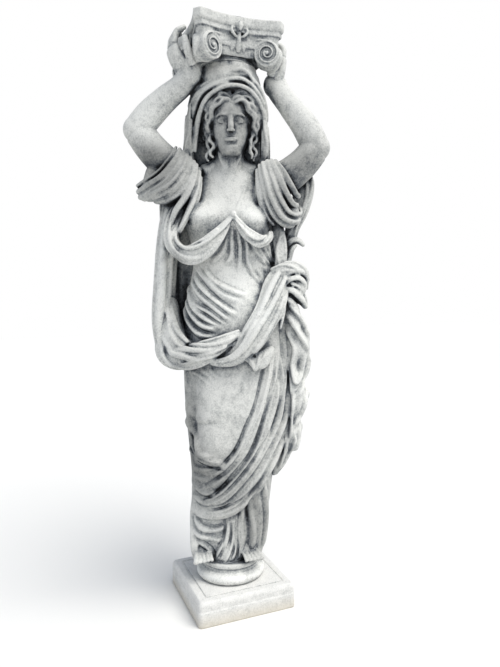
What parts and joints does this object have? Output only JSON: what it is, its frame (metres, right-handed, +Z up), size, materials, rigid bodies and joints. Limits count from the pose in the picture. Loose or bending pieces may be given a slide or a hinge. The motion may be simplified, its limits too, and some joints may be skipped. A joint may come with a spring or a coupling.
{
  "type": "caryatid statue",
  "caption": "Draped standing woman in cast stone on a square plinth, who holds a square capital with corner volutes on her head with both raised hands.",
  "frame": {"origin": "centre of the plinth's underside", "axes": "+Z up, from the plinth to the capital; the plinth's and the capital's fronts face -Y, and the figure is turned 20 degrees from there towards -X"},
  "size_m": [0.7092, 0.4163, 2.114],
  "materials": {
    "plinth_stone": "matt cast stone, pale and slightly worn, with a warmer lower edge",
    "figure_stone": "matt cast stone, light grey with cream highlights and dark weathering in the folds",
    "capital_stone": "matt cast stone, light grey with dark weathering in the carving"
  },
  "bodies": {
    "root": {"square_plinth": "plinth_stone", "draped_figure": "figure_stone", "ionic_capital": "capital_stone"}
  },
  "joints": []
}
